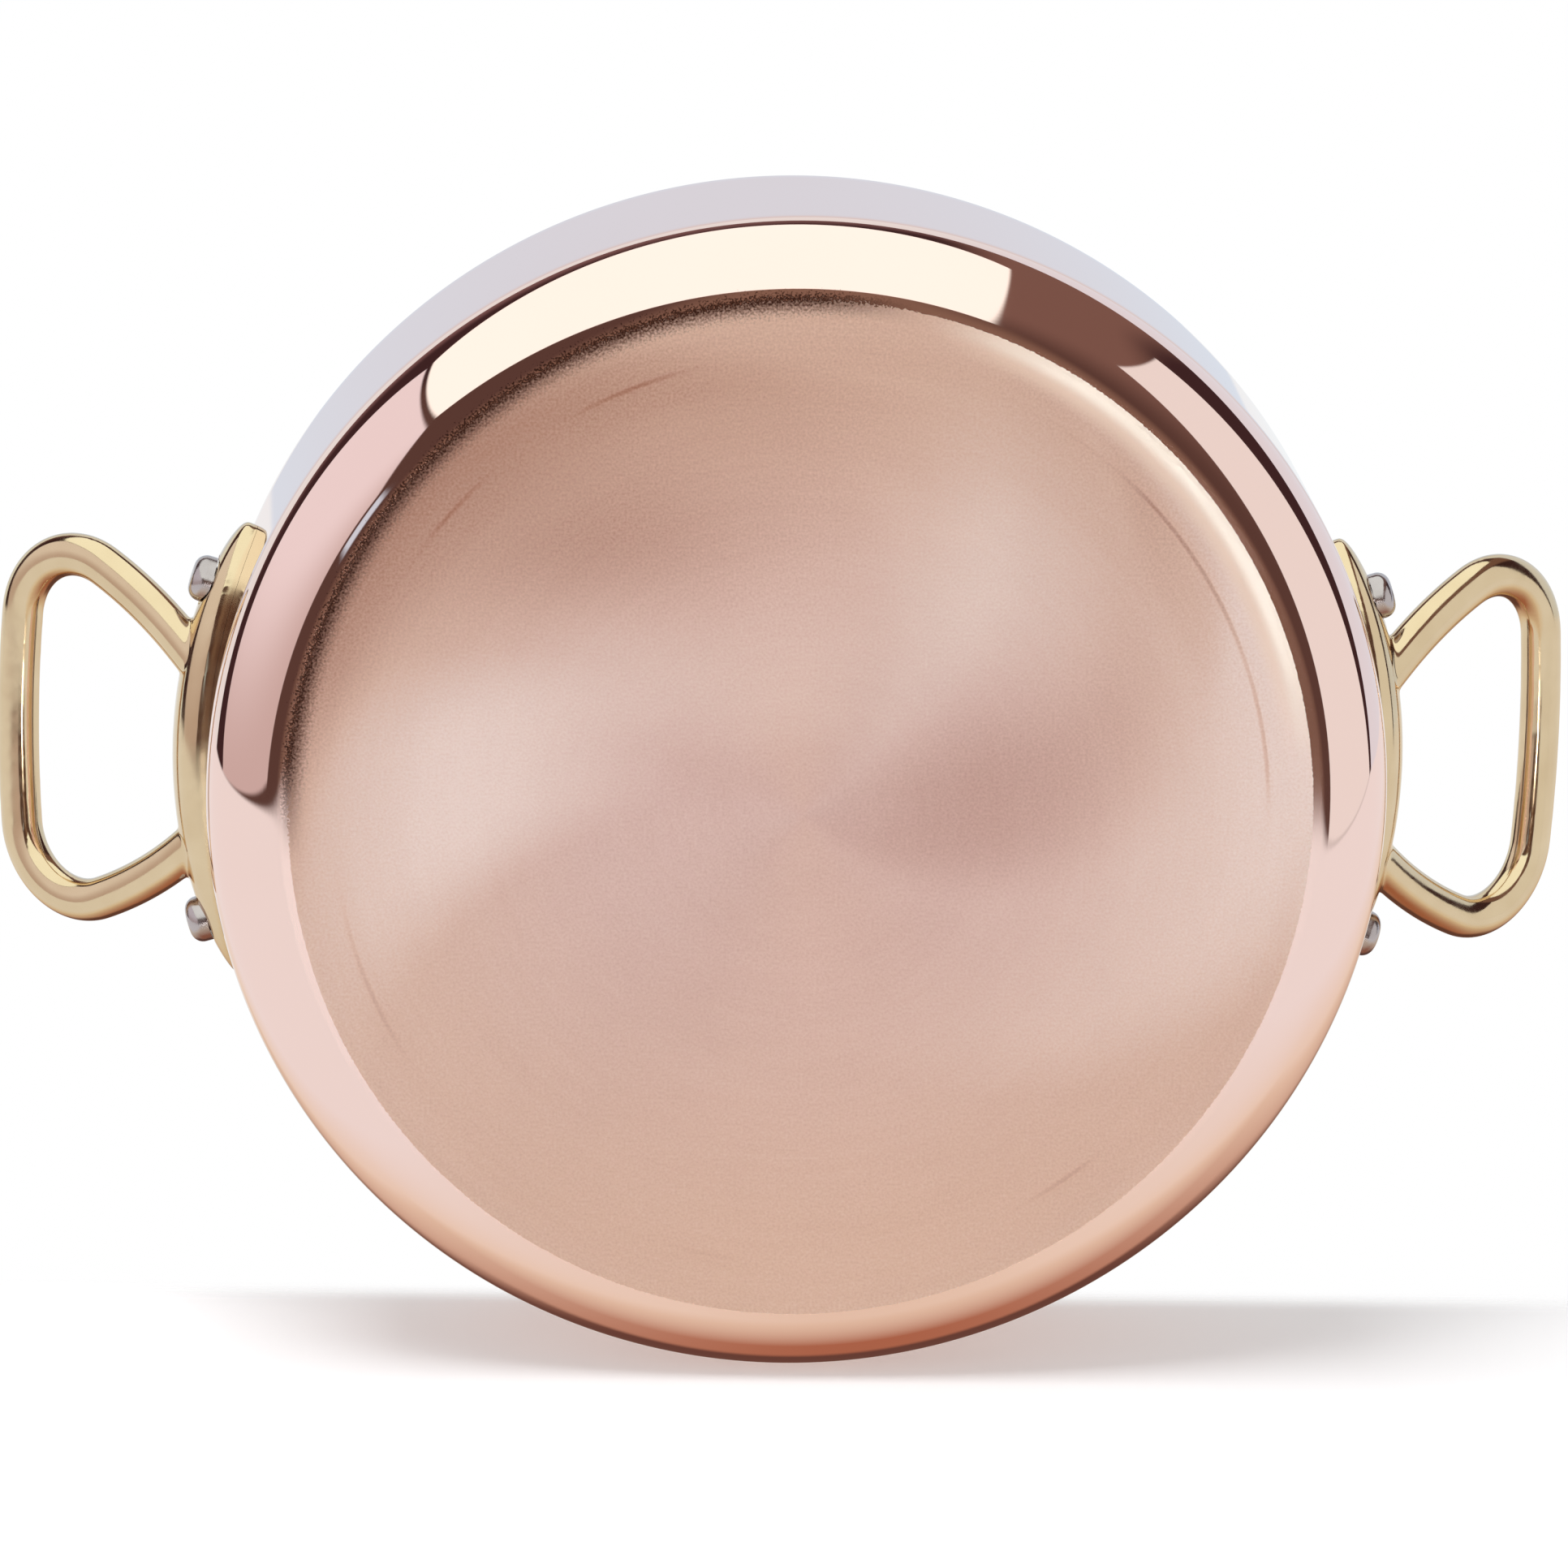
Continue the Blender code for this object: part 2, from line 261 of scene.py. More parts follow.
def vary(tree, pattern, low, high):
    """Value that wanders between two limits with a cloudy pattern."""
    return fade(tree, pattern, PATCHES_LOW, PATCHES_HIGH, low, high)


# A brushed finish stretches its highlights across the lines, a quarter turn from the tangent
QUARTER_TURN = 0.25


def new_metal(name, anisotropy=0.0):
    """Bare metal whose colour and finish its own nodes will set."""
    material = bpy.data.materials.new(name)
    material.use_nodes = True
    tree = material.node_tree
    shader = tree.nodes["Principled BSDF"]
    shader.inputs["Metallic"].default_value = 1.0
    shader.inputs["Anisotropic"].default_value = anisotropy
    shader.inputs["Anisotropic Rotation"].default_value = QUARTER_TURN
    place = grow(tree, "ShaderNodeTexCoord", {}).outputs["Object"]
    return material, tree, shader, place


def emboss(tree, shader, height, strength, depth):
    """Stand a pattern out of the surface in fine relief."""
    bump = grow(tree, "ShaderNodeBump", {"Strength": strength, "Distance": depth, "Height": height})
    tree.links.new(bump.outputs[0], shader.inputs["Normal"])


def run_round(tree, shader):
    """Run a brushed finish in circles round the pan's axis."""
    tangent = grow(tree, "ShaderNodeTangent", {}, direction_type="RADIAL", axis="Z")
    tree.links.new(tangent.outputs[0], shader.inputs["Tangent"])


def lathe_place(tree, place):
    """Where a point lies on a turned piece: its distance from the axis, and its direction from it."""
    flat = vector_maths(tree, "MULTIPLY", "Vector", place, (1.0, 1.0, 0.0))
    radius = vector_maths(tree, "LENGTH", "Value", flat)
    return radius, vector_maths(tree, "NORMALIZE", "Vector", flat)


# How many finer layers of pattern lie on the first, in a grain or a brushed line
FINE_DETAIL = 3.0


def brush_lines(tree, radius, outwards, width, arc):
    """Arcs that a brush leaves on a turned piece, each about this wide and this long in radians."""
    bent = grow(tree, "ShaderNodeVectorMath", {0: outwards, "Scale": width / arc}, operation="SCALE")
    parts = grow(tree, "ShaderNodeSeparateXYZ", {0: bent.outputs[0]}).outputs
    lathe = grow(tree, "ShaderNodeCombineXYZ", {0: radius, 1: parts[0], 2: parts[1]})
    return patches(tree, lathe.outputs[0], width, FINE_DETAIL)


# Sizes of the patterns: speckle and grain of the brushing, clouds of the buffing, and width
# in metres and length in radians of the lines that the brush leaves
SPECKLE_SIZE = 0.0004
GRAIN_SIZE = 0.00045
CLOUD_SIZE = 0.030
SCRATCHES = (0.00025, 0.6)
FINE_LINES = (0.0011, 0.45)
BROAD_LINES = (0.0090, 1.2)

# Painted sheen on the base: lighter and darker fans of painted highlight and painted shade,
# where a brushed finish catches the light. For each: turn in degrees as seen from beneath, half
# width, twist from the middle to the edge, start and end as shares of the radius, and strength,
# which is above 0 for a lighter fan
BRUSHED_TONE = 0.60
PAINTED_SHEEN_FANS = (
    (-15, 65, 125, 0.25, 1.00, 0.15),
    (-10, 45, 70, -0.15, 1.05, -0.25),
    (145, 25, 45, 0.20, 1.10, 0.35),
    (-95, 45, 120, 0.25, 3.00, 0.70),
    (75, 50, 45, 0.15, 1.05, -0.60),
    (-30, 45, 185, 0.75, 1.25, -0.35),
    (-60, 15, 110, 0.75, 1.00, -0.20),
    (80, 75, 15, 0.05, 0.95, 0.45),
)

# How strongly each pattern shows in the tone
GRAIN_SHARE = 0.62
FINE_SHARE = 0.09
BROAD_SHARE = 0.06

# Scuffs where the pan has stood: broken thin arcs of one ring, a little darker than the base
SCUFF_RADIUS = 0.0785
SCUFF_REACH = 0.00055
SCUFF_CORE = 0.0001
SCUFF_LENGTH = 0.9
SCUFF_FROM = 0.52
SCUFF_TO = 0.62
SCUFF_TONE = -0.33


def painted_sheen_fan(tree, reach, outwards, turn, half_width, twist, start, end, strength):
    """One fan of painted sheen on the base, lighter or darker by its strength. Reach is the distance from
    the middle as a share of the disc.
    """
    turned = maths(tree, "MULTIPLY_ADD", reach, radians(twist), radians(turn))
    sideways = maths(tree, "MULTIPLY", maths(tree, "COSINE", turned), -1.0)
    towards = grow(tree, "ShaderNodeCombineXYZ", {0: sideways, 1: maths(tree, "SINE", turned)})
    facing = along(tree, outwards, towards.outputs[0])
    lobe = fade(tree, facing, cos(radians(half_width)), 1.0, 0.0, strength)
    middle = (start + end) / 2
    rise = fade(tree, reach, start, middle)
    fall = fade(tree, reach, middle, end, 1.0, 0.0)
    return maths(tree, "MULTIPLY", lobe, maths(tree, "MULTIPLY", rise, fall))


def sheen_and_grain_tone(tree, radius, outwards, reach, grain):
    """Tone of the brushed base, from 0 at its dullest to 1 at its brightest: painted sheen fans, with
    scuffs, grain and brush lines.
    """
    tone = BRUSHED_TONE
    for fan in PAINTED_SHEEN_FANS:
        tone = maths(tree, "ADD", painted_sheen_fan(tree, reach, outwards, *fan), tone)
    off_ring = maths(tree, "ABSOLUTE", maths(tree, "SUBTRACT", radius, SCUFF_RADIUS))
    scuffed = fade(tree, off_ring, SCUFF_REACH, SCUFF_CORE)
    arcs = fade(tree, patches(tree, outwards, SCUFF_LENGTH), SCUFF_FROM, SCUFF_TO, 0.0, SCUFF_TONE)
    tone = maths(tree, "MULTIPLY_ADD", scuffed, arcs, tone)
    fine = brush_lines(tree, radius, outwards, *FINE_LINES)
    broad = brush_lines(tree, radius, outwards, *BROAD_LINES)
    for pattern, share in ((grain, GRAIN_SHARE), (fine, FINE_SHARE), (broad, BROAD_SHARE)):
        tone = maths(tree, "MULTIPLY_ADD", maths(tree, "SUBTRACT", pattern, 0.5), share, tone)
    return tone


# Edge of the brushed disc. It is drawn in towards the handles, and frayed by the brush
BRUSHED_RADIUS = 0.0878
DRAWN_IN = 0.0017
FRAY = 0.0006
DARK_SIDE_FRAY = 0.0050

# Sides of that edge, each with its turn and how far from it the side is full and gone, in
# degrees: one gets a painted band of shade and a wider fray, the other a painted highlight
DARK_SIDE = (48, 40, 55)
LIGHT_SIDE = (138, 14, 37)

# Bands along that edge, each from where it starts to where it is full, in metres past it: the
# painted shade band, the painted highlight's glow and halo, and the relief
DARK_START, DARK_FULL = -0.0032, 0.0002
DARK_GONE, DARK_STOP = 0.0014, 0.0003
GLOW_START, GLOW_FULL = -0.0034, -0.0013
HALO_START, HALO_FULL = -0.0060, -0.0030
RELIEF_GONE, RELIEF_FULL = -0.0001, -0.0007

# Colours of the copper: buffed, brushed from dull to bright as the painted sheen and the grain
# set it, and the painted highlights and painted shade along the disc's edge
BUFFED_LIGHT = (0.955, 0.705, 0.640)
BUFFED_DEEP = (0.940, 0.685, 0.615)
BRUSHED_DULL = (0.400, 0.175, 0.120)
BRUSHED_MIDDLE = (0.787, 0.550, 0.500)
BRUSHED_OUTER = (0.790, 0.543, 0.445)
BRUSHED_BRIGHT = (0.970, 0.790, 0.735)
OUTER_START, OUTER_FULL = 0.30, 0.95
PAINTED_HALO = (0.985, 0.765, 0.645)
PAINTED_GLOW = (1.000, 0.890, 0.800)
PAINTED_SHADE_DARK = (0.150, 0.075, 0.058)

# Finish of the copper: roughness from smooth to coarse, and relief
BRUSHED_STRETCH = 0.6
BUFFED_ROUGHNESS = (0.020, 0.032)
BRUSHED_ROUGHNESS = (0.36, 0.44)
GLOW_SMOOTHNESS = 0.23
SCRATCH_HEIGHT = 0.6
BRUSHED_RELIEF = (0.25, 0.00005)


def on_side(tree, outwards, turn, full, gone):
    """Share from 0 to 1 of a point in one side of the pan, by its angle from the side's turn."""
    return fade(tree, along(tree, outwards, heading(turn)), cos(radians(gone)), cos(radians(full)))


def brushed_colour(tree, tone, reach, painted_halo, glow):
    """Colour of the brushed base: dull to bright by its tone of painted sheen and grain, warmer outwards,
    with a painted highlight at the edge.
    """
    low = fade(tree, tone, 0.0, BRUSHED_TONE, shape="LINEAR")
    high = fade(tree, tone, BRUSHED_TONE, 1.0, shape="LINEAR")
    outer = fade(tree, reach, OUTER_START, OUTER_FULL)
    middling = blend_colours(tree, outer, BRUSHED_MIDDLE, BRUSHED_OUTER)
    dull = blend_colours(tree, low, BRUSHED_DULL, middling)
    bright = blend_colours(tree, high, dull, BRUSHED_BRIGHT)
    bright = blend_colours(tree, painted_halo, bright, PAINTED_HALO)
    return blend_colours(tree, glow, bright, PAINTED_GLOW)


def make_spun_copper():
    """Copper: buffed all over, apart from the disc of the base that is brushed in circles and carries
    painted sheen fans, with a painted highlight and painted shade at its edge.
    """
    material, tree, shader, place = new_metal("spun_copper", BRUSHED_STRETCH)
    radius, outwards = lathe_place(tree, place)
    reach = maths(tree, "DIVIDE", radius, BRUSHED_RADIUS)
    grain = patches(tree, place, GRAIN_SIZE, FINE_DETAIL)
    cloud = patches(tree, place, CLOUD_SIZE)

    # Distance past the disc's edge, plain and as the brush frayed it
    across = along(tree, outwards, (1.0, 0.0, 0.0))
    oval = maths(tree, "MULTIPLY_ADD", maths(tree, "MULTIPLY", across, across), DRAWN_IN, radius)
    past_edge = maths(tree, "SUBTRACT", oval, BRUSHED_RADIUS)
    dark_side = on_side(tree, outwards, *DARK_SIDE)
    speckle = maths(tree, "SUBTRACT", patches(tree, place, SPECKLE_SIZE, FINE_DETAIL), 0.5)
    spread = maths(tree, "MULTIPLY_ADD", dark_side, DARK_SIDE_FRAY, FRAY)
    past_frayed = maths(tree, "MULTIPLY_ADD", speckle, spread, past_edge)
    brushed = maths(tree, "LESS_THAN", past_frayed, 0.0)

    # Painted highlight on the light side of the disc's edge: a halo and a glow, where it is also smoother
    light_side = on_side(tree, outwards, *LIGHT_SIDE)
    painted_halo = maths(tree, "MULTIPLY", fade(tree, past_edge, HALO_START, HALO_FULL), light_side)
    glow = maths(tree, "MULTIPLY", fade(tree, past_edge, GLOW_START, GLOW_FULL), light_side)
    tone = sheen_and_grain_tone(tree, radius, outwards, reach, grain)
    disc = brushed_colour(tree, tone, reach, painted_halo, glow)
    buffed = blend_colours(tree, cloud, BUFFED_LIGHT, BUFFED_DEEP)
    colour = blend_colours(tree, brushed, buffed, disc)
    # Painted shade: a dark band along the disc's edge on the dark side
    painted_shade_band = fade(tree, past_frayed, DARK_START, DARK_FULL)
    painted_shade_band = maths(tree, "MULTIPLY", painted_shade_band, fade(tree, past_frayed, DARK_GONE, DARK_STOP))
    colour = blend_colours(tree, maths(tree, "MULTIPLY", painted_shade_band, dark_side), colour, PAINTED_SHADE_DARK)
    tree.links.new(colour, shader.inputs["Base Color"])

    mirror = vary(tree, cloud, *BUFFED_ROUGHNESS)
    smoothed = maths(tree, "MULTIPLY_ADD", glow, -GLOW_SMOOTHNESS, 1.0)
    matt = maths(tree, "MULTIPLY", vary(tree, grain, *BRUSHED_ROUGHNESS), smoothed)
    finish = grow(tree, "ShaderNodeMix", {0: brushed, 2: mirror, 3: matt}, data_type="FLOAT")
    tree.links.new(finish.outputs[0], shader.inputs["Roughness"])

    scratches = brush_lines(tree, radius, outwards, *SCRATCHES)
    relief = maths(tree, "MULTIPLY_ADD", scratches, SCRATCH_HEIGHT, grain)
    relief = maths(tree, "MULTIPLY", relief, fade(tree, past_frayed, RELIEF_GONE, RELIEF_FULL))
    emboss(tree, shader, relief, *BRUSHED_RELIEF)
    run_round(tree, shader)
    return material


copper_bowl = spun_pan(
    "copper_bowl", WALL_RADIUS, 0.0, SHOULDER_RADIUS, COPPER_THICKNESS, RIM_ROUNDING
)
copper_bowl.data.materials.append(make_spun_copper())
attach(copper_bowl, "root")
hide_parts("copper_shell")

# Steel lining
# A thin skin of stainless steel, bonded inside the copper before both are spun as one, so it
# follows the same shoulder and its edge shows as a pale line in the rim. It is what the food
# touches, and it is brushed in circles.
LINING_DEPTH = 0.0024
BOND = 0.00002
LINING_ROUNDING = 0.0002
LINING_PALE = (0.760, 0.715, 0.690)
LINING_GREY = (0.710, 0.665, 0.645)
LINING_CLOUD = 0.025
LINING_LINES = (0.0003, 0.5)
LINING_STRETCH = 0.5
LINING_ROUGHNESS = (0.24, 0.34)
LINING_RELIEF = (0.15, 0.00003)


def make_lining_steel():
    """Stainless steel with fine circular brushing, up the wall as on the base."""
    material, tree, shader, place = new_metal("lining_steel", LINING_STRETCH)
    radius, outwards = lathe_place(tree, place)
    height = grow(tree, "ShaderNodeSeparateXYZ", {0: place}).outputs[2]
    lines = brush_lines(tree, maths(tree, "ADD", radius, height), outwards, *LINING_LINES)
    pale = blend_colours(tree, patches(tree, place, LINING_CLOUD), LINING_PALE, LINING_GREY)
    tree.links.new(pale, shader.inputs["Base Color"])
    tree.links.new(vary(tree, lines, *LINING_ROUGHNESS), shader.inputs["Roughness"])
    emboss(tree, shader, lines, *LINING_RELIEF)
    run_round(tree, shader)
    return material


bonded_depth = COPPER_THICKNESS + BOND
bonded_lining = spun_pan(
    "bonded_lining",
    WALL_RADIUS - bonded_depth,
    bonded_depth,
    SHOULDER_RADIUS - bonded_depth,
    LINING_DEPTH - bonded_depth,
    LINING_ROUNDING,
)
bonded_lining.data.materials.append(make_lining_steel())
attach(bonded_lining, "root")
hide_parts("steel_lining")

# Cast brass handles
# Each is one sand casting in brass: a crowned oval plate that lies on the wall, and a
# flattened rod that rises from it and bends round to make room for the fingers. The seams
# are filed off, two flat seats are cut for the rivets, and it is polished.
PLATE_EDGE = 0.0016
PLATE_CROWN = 0.0061
PLATE_SQUARENESS = 2.4
PLATE_SIDES = 288
CROWN_STEPS = 48
ROD_WIDTH = 0.0075
ROD_THICKNESS = 0.0064
ROD_SQUARENESS = 2.1
ROD_SIDES = 80
ROOT_DEPTH = 0.0042
LOOP_WIDTH = 0.0688
LOOP_REACH = 0.0360
LOOP_CORNER_RADIUS = 0.0130
LOOP_BAR_BOW = 0.0008
LEG_RADIUS = 0.075
LOOP_RISE = radians(38.0)
LEG_STEPS = 48
CORNER_STEPS = 56
BAR_STEPS = 24
HALVES_MEET = 0.0001

# The blank of the plate reaches this far into the wall, and is cut back to the wall's curve
PLATE_SPARE = 2 * PLATE_EDGE
WALL_GAP = 0.00002
BACK_BELOW = 0.01
BACK_ABOVE = 0.03
BACK_SIDES = 720

# Flat seats and bores for the rivets
RIVET_HEAD_RADIUS = 0.0040
RIVET_TO_LEG = 0.0028
RIVET_SEAT_HEIGHT = 0.0038
RIVET_SEAT_RADIUS = 0.0046
BORE_INWARD = 0.002
BORE_OUTWARD = 0.012

# The casting's skin: grid that plate and rod are fused on, then smoothed to a soft root
CAST_GRAIN = 0.00028
CAST_SOFTNESS = 0.5
CAST_PASSES = 24


def square_off(piece, half_width, half_height, squareness, axes):
    """Push a circle's points out to a rounded oval. The axes are the two that it lies along."""
    for vertex in piece.data.vertices:
        across, up = vertex.co[axes[0]], vertex.co[axes[1]]
        length = hypot(across, up)
        if length < NEAR:
            continue
        across, up = across / length, up / length
        size = (abs(across) ** squareness + abs(up) ** squareness) ** (-1 / squareness)
        vertex.co[axes[0]] = half_width * across * size
        vertex.co[axes[1]] = half_height * up * size


def cast_plate():
    """Flat crowned oval, drawn in step by step like a dome, then bent to the wall's curve."""
    bpy.ops.object.select_all(action="DESELECT")
    bpy.ops.mesh.primitive_circle_add(
        vertices=PLATE_SIDES, radius=1.0, fill_type="NGON", rotation=(pi / 2, 0.0, 0.0)
    )
    plate = start_piece("plate")
    square_off(plate, PLATE_LENGTH / 2, PLATE_HEIGHT / 2, PLATE_SQUARENESS, (0, 2))
    bpy.ops.object.mode_set(mode="EDIT")
    bpy.ops.mesh.select_all(action="SELECT")
    bpy.ops.transform.translate(value=(0.0, PLATE_SPARE, 0.0))
    rim = {"value": (0.0, -(PLATE_SPARE + PLATE_EDGE), 0.0)}
    bpy.ops.mesh.extrude_region_move(TRANSFORM_OT_translate=rim)
    width, depth = 1.0, PLATE_EDGE
    for step in range(1, CROWN_STEPS + 1):
        angle = pi / 2 * step / (CROWN_STEPS + 1)
        next_width = cos(angle)
        next_depth = PLATE_EDGE + (PLATE_CROWN - PLATE_EDGE) * sin(angle)
        bpy.ops.mesh.extrude_region_move(TRANSFORM_OT_translate={"value": (0.0, depth - next_depth, 0.0)})
        shrink = next_width / width
        bpy.ops.transform.resize(value=(shrink, 1.0, shrink), center_override=(0.0, 0.0, 0.0))
        width, depth = next_width, next_depth
    bpy.ops.mesh.select_all(action="SELECT")
    bpy.ops.mesh.normals_make_consistent(inside=False)
    bpy.ops.object.mode_set(mode="OBJECT")
    apply_modifier(
        plate, "SIMPLE_DEFORM", deform_method="BEND", deform_axis="Z", angle=PLATE_LENGTH / WALL_RADIUS
    )
    plate.data.transform(Matrix.Translation((0.0, -WALL_RADIUS, plate_middle)))
    plate.data.transform(Matrix.Rotation(pi / 2, 4, "Z"))
    return plate


def sweep(steps, angle, centre):
    """In edit mode, spin the end of the rod round an upright axis."""
    bpy.ops.mesh.spin(steps=steps, angle=angle, center=centre, axis=(0.0, 0.0, 1.0), dupli=False)


def bent_rod():
    """Half of the loop, swept along the leg, round the corner and along the bar, then mirrored."""
    corner = LOOP_CORNER_RADIUS
    centre = Vector((LOOP_REACH - corner, LOOP_WIDTH / 2 - ROD_WIDTH / 2 - corner, 0.0))
    rivet_arc = rivet_angle * WALL_RADIUS
    root = Vector((0.0, rivet_arc - RIVET_HEAD_RADIUS - RIVET_TO_LEG - ROD_WIDTH / 2, 0.0))
    span = centre - root
    inner = LEG_RADIUS - corner
    open_angle = acos((LEG_RADIUS**2 + span.length**2 - inner**2) / (2 * LEG_RADIUS * span.length))
    leg_centre = root + LEG_RADIUS * (Matrix.Rotation(-open_angle, 3, "Z") @ span.normalized())
    start = (root - leg_centre).normalized()
    forward = Vector((start.y, -start.x, 0.0))
    leg_turn = start.angle(centre - leg_centre)
    lean = atan2(forward.y, forward.x)
    bar_turn = 2 * atan(LOOP_BAR_BOW / centre.y)
    bar_radius = centre.y / sin(bar_turn) + corner

    bpy.ops.object.select_all(action="DESELECT")
    bpy.ops.mesh.primitive_circle_add(vertices=ROD_SIDES, radius=1.0, fill_type="NGON")
    rod = start_piece("rod")
    square_off(rod, ROD_WIDTH / 2, ROD_THICKNESS / 2, ROD_SQUARENESS, (0, 1))
    stand = Matrix(((-sin(lean), 0.0, cos(lean)), (cos(lean), 0.0, sin(lean)), (0.0, 1.0, 0.0)))
    rod.data.transform(Matrix.Translation(root - forward * ROOT_DEPTH) @ stand.to_4x4())

    bpy.ops.object.mode_set(mode="EDIT")
    bpy.ops.mesh.select_all(action="SELECT")
    bpy.ops.mesh.extrude_region_move(TRANSFORM_OT_translate={"value": forward * ROOT_DEPTH})
    sweep(LEG_STEPS, leg_turn, leg_centre)
    sweep(CORNER_STEPS, pi / 2 + lean - leg_turn - bar_turn, centre)
    bar_centre = centre - (bar_radius - corner) * Vector((cos(bar_turn), sin(bar_turn), 0.0))
    sweep(BAR_STEPS, bar_turn, bar_centre)
    bpy.ops.mesh.delete(type="FACE")
    bpy.ops.object.mode_set(mode="OBJECT")
    apply_modifier(
        rod, "MIRROR", use_axis=(False, True, False), use_clip=True, merge_threshold=HALVES_MEET
    )
    bpy.ops.object.mode_set(mode="EDIT")
    bpy.ops.mesh.select_all(action="SELECT")
    bpy.ops.mesh.remove_doubles(threshold=NEAR)
    bpy.ops.mesh.normals_make_consistent(inside=False)
    bpy.ops.object.mode_set(mode="OBJECT")
    stand_up = Matrix.Translation((WALL_RADIUS + ROOT_DEPTH, 0.0, plate_middle))
    rod.data.transform(stand_up @ Matrix.Rotation(-LOOP_RISE, 4, "Y"))
    return rod


# Brass: its colours, the sizes of its clouds, smudges and waves, its roughness and relief
BRASS_LIGHT = (0.800, 0.625, 0.415)
BRASS_DEEP = (0.680, 0.500, 0.305)
BRASS_CLOUD = 0.008
SMUDGE_SIZE = 0.003
SMUDGE_DETAIL = 4.0
BRASS_ROUGHNESS = (0.08, 0.14)
WAVE_SIZE = 0.006
WAVE_DETAIL = 1.0
WAVE_RELIEF = (0.18, 0.0002)


def make_polished_brass():
    """Cast brass, polished by hand, so the mirror is a little uneven."""
    material, tree, shader, place = new_metal("polished_brass")
    gold = blend_colours(tree, patches(tree, place, BRASS_CLOUD), BRASS_LIGHT, BRASS_DEEP)
    tree.links.new(gold, shader.inputs["Base Color"])
    smudge = patches(tree, place, SMUDGE_SIZE, SMUDGE_DETAIL)
    tree.links.new(vary(tree, smudge, *BRASS_ROUGHNESS), shader.inputs["Roughness"])
    emboss(tree, shader, patches(tree, place, WAVE_SIZE, WAVE_DETAIL), *WAVE_RELIEF)
    return material


right_casting = cast_plate()
right_casting.name = "right_casting"
combine(right_casting, bent_rod(), "UNION")
apply_modifier(right_casting, "REMESH", mode="VOXEL", voxel_size=CAST_GRAIN, use_smooth_shade=True)
apply_modifier(right_casting, "SMOOTH", factor=CAST_SOFTNESS, iterations=CAST_PASSES)
upright = Matrix.Identity(4)
back = round_bar(
    "back", WALL_RADIUS + WALL_GAP, -BACK_BELOW, PAN_HEIGHT + BACK_ABOVE, upright, BACK_SIDES
)
combine(right_casting, back, "DIFFERENCE", solver="MANIFOLD")
for end in (-1, 1):
    at_rivet = rivet_frame(1, end)
    seat = round_bar("seat", RIVET_SEAT_RADIUS, RIVET_SEAT_HEIGHT, 2 * PLATE_CROWN, at_rivet)
    combine(right_casting, seat, "DIFFERENCE", solver="MANIFOLD")
    bore = round_bar(
        "bore", RIVET_SHANK_RADIUS + RIVET_CLEARANCE, -BORE_INWARD, BORE_OUTWARD, at_rivet
    )
    combine(right_casting, bore, "DIFFERENCE", solver="MANIFOLD")
bpy.ops.object.shade_smooth_by_angle(angle=SMOOTH_ANGLE)
right_casting.data.materials.clear()
right_casting.data.materials.append(make_polished_brass())

left_casting = right_casting.copy()
left_casting.data = right_casting.data.copy()
left_casting.name = "left_casting"
bpy.context.scene.collection.objects.link(left_casting)
left_casting.data.transform(Matrix.Rotation(pi, 4, "Z"))

for casting, node in ((right_casting, "right_handle"), (left_casting, "left_handle")):
    casting.data.name = casting.name
    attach(casting, "root")
    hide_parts(node)

# Rivets
# Four solid rivets of stainless steel, turned with a domed head. Each goes through handle,
# copper and lining from outside, and its inner end is hammered over into a low round head.
RIVET_HEAD_HEIGHT = 0.0035
RIVET_HEAD_ROUNDING = 0.0022
CLOSED_HEAD_RADIUS = 0.0044
CLOSED_HEAD_HEIGHT = 0.0018
HEAD_GAP = 0.0003
CLOSED_HEAD_GAP = 0.0005
HEAD_SIDES = 64
HEAD_STEPS = 12
RIVET_LIGHT = (0.560, 0.485, 0.475)
RIVET_DARK = (0.440, 0.375, 0.370)
RIVET_CLOUD = 0.003
RIVET_ROUGHNESS = (0.14, 0.24)
DENT_SIZE = 0.0012
DENT_RELIEF = (0.3, 0.0001)
under_head = RIVET_SEAT_HEIGHT + HEAD_GAP
closed_seat = -(LINING_DEPTH + CLOSED_HEAD_GAP)


def make_rivet_steel():
    """Turned steel with a soft tumbled finish."""
    material, tree, shader, place = new_metal("rivet_steel")
    cloud = patches(tree, place, RIVET_CLOUD)
    tree.links.new(blend_colours(tree, cloud, RIVET_LIGHT, RIVET_DARK), shader.inputs["Base Color"])
    tree.links.new(vary(tree, cloud, *RIVET_ROUGHNESS), shader.inputs["Roughness"])
    emboss(tree, shader, patches(tree, place, DENT_SIZE), *DENT_RELIEF)
    return material


bpy.ops.object.select_all(action="DESELECT")
bpy.ops.mesh.primitive_cylinder_add(
    vertices=HEAD_SIDES,
    radius=RIVET_HEAD_RADIUS,
    depth=RIVET_HEAD_HEIGHT,
    location=(0.0, 0.0, under_head + RIVET_HEAD_HEIGHT / 2),
)
pattern_rivet = start_piece("pattern_rivet")
bpy.ops.object.mode_set(mode="EDIT")
head_top = under_head + RIVET_HEAD_HEIGHT
pick(pattern_rivet, "EDGE", lambda a, b: min(a.z, b.z) > head_top - NEAR)
bpy.ops.mesh.bevel(offset=RIVET_HEAD_ROUNDING, segments=HEAD_STEPS, affect="EDGES", clamp_overlap=False)
pick(pattern_rivet, "FACE", lambda middle, normal: normal.z < -LEVEL)
bpy.ops.mesh.inset(thickness=RIVET_HEAD_RADIUS - RIVET_SHANK_RADIUS)
bpy.ops.mesh.extrude_region_move(TRANSFORM_OT_translate={"value": (0.0, 0.0, closed_seat - under_head)})
width = RIVET_SHANK_RADIUS
bpy.ops.mesh.extrude_region_move(TRANSFORM_OT_translate={"value": (0.0, 0.0, 0.0)})
